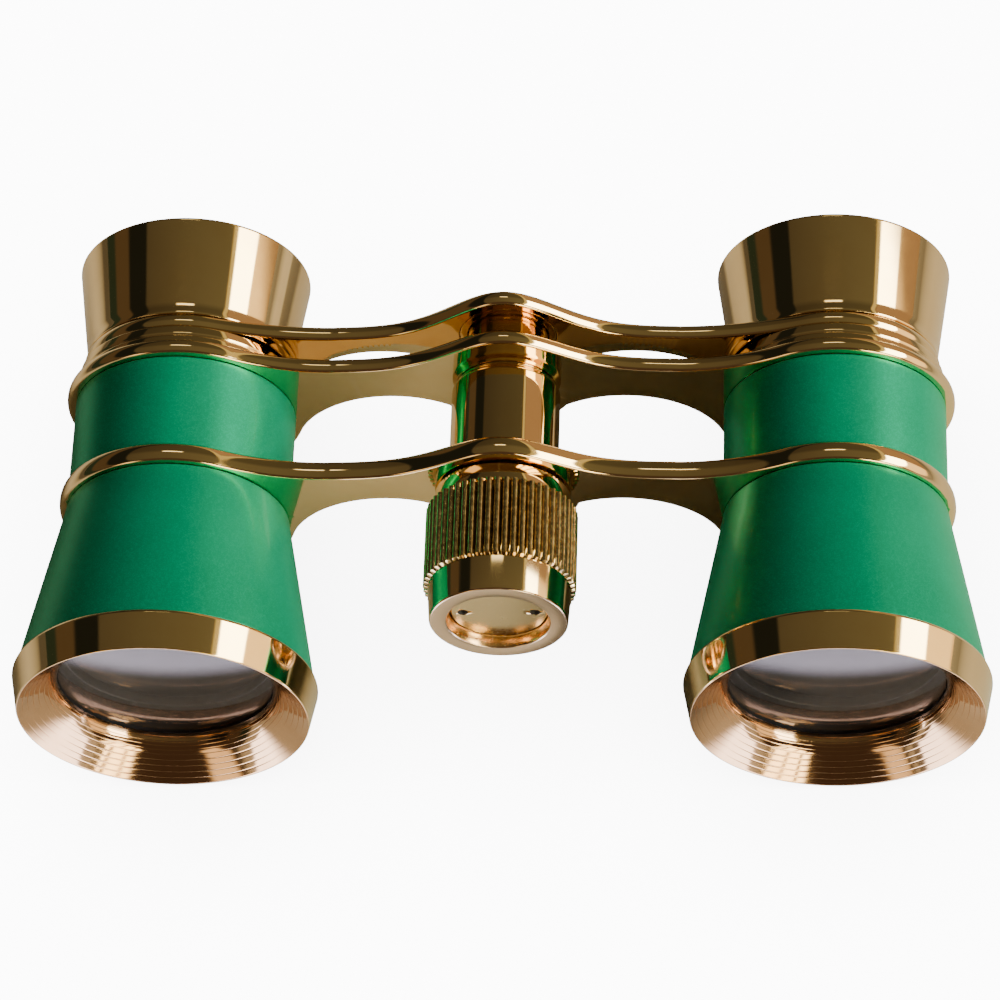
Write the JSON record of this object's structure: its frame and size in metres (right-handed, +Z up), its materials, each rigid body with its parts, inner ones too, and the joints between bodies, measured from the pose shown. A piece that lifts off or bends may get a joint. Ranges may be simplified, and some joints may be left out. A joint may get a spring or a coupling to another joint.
{
  "type": "opera glasses",
  "caption": "Hand-held Galilean opera glasses: short flared enamel barrels on gold-coloured bridge plates, with a knurled centre knob that slides the eyepieces to focus.",
  "frame": {"origin": "on the resting surface under the middle of the bounding box, with the eyepieces focused fully in", "axes": "+Y along the barrels from the objectives to the eyepieces, +X across the barrels, +Z up on the side where the bridge plates arch over the column"},
  "size_m": [0.102, 0.0544, 0.032],
  "materials": {
    "polished_gold": "polished",
    "satin_gold": "satin turned",
    "green_enamel": "gloss metallic enamel",
    "lens_glass": "coated optical glass",
    "black_anodised": "matt black",
    "screw_steel": "bright turned"
  },
  "bodies": {
    "body": {"left_objective_ring": "satin_gold", "left_objective_lens": "lens_glass", "left_objective_retainer": "black_anodised", "left_barrel_cone": "green_enamel", "left_barrel_tube": "green_enamel", "left_rear_collar": "polished_gold", "right_objective_ring": "satin_gold", "right_objective_lens": "lens_glass", "right_objective_retainer": "black_anodised", "right_barrel_cone": "green_enamel", "right_barrel_tube": "green_enamel", "right_rear_collar": "polished_gold", "front_bridge": "polished_gold", "rear_bridge": "polished_gold", "centre_tube": "polished_gold", "knob_bush": "polished_gold", "rod_bush": "polished_gold"},
    "knob": {"focus_knob": "polished_gold", "knob_screw": "satin_gold", "focus_screw": "screw_steel", "screw_retaining_ring": "screw_steel"},
    "eyepieces": {"left_draw_tube": "polished_gold", "left_eyecup": "polished_gold", "left_eye_lens": "lens_glass", "left_eye_lens_retainer": "black_anodised", "right_draw_tube": "polished_gold", "right_eyecup": "polished_gold", "right_eye_lens": "lens_glass", "right_eye_lens_retainer": "black_anodised", "eyepiece_bridge": "polished_gold", "focus_rod": "polished_gold", "rod_end_screw": "satin_gold"}
  },
  "joints": [
    {"name": "knob_turn", "type": "hinge", "parent": "body", "child": "knob", "pos_m": [0, 0, 0.0212], "axis": [0, 1, 0], "range_deg": [0, 450.5]},
    {"name": "focus_slide", "type": "slide", "parent": "body", "child": "eyepieces", "axis": [0, 1, 0], "range_m": [0, 0.0075]}
  ],
  "couplings": [
    {"joint": "knob_turn", "follows": "focus_slide", "rad_per_m": 1047.2}
  ]
}
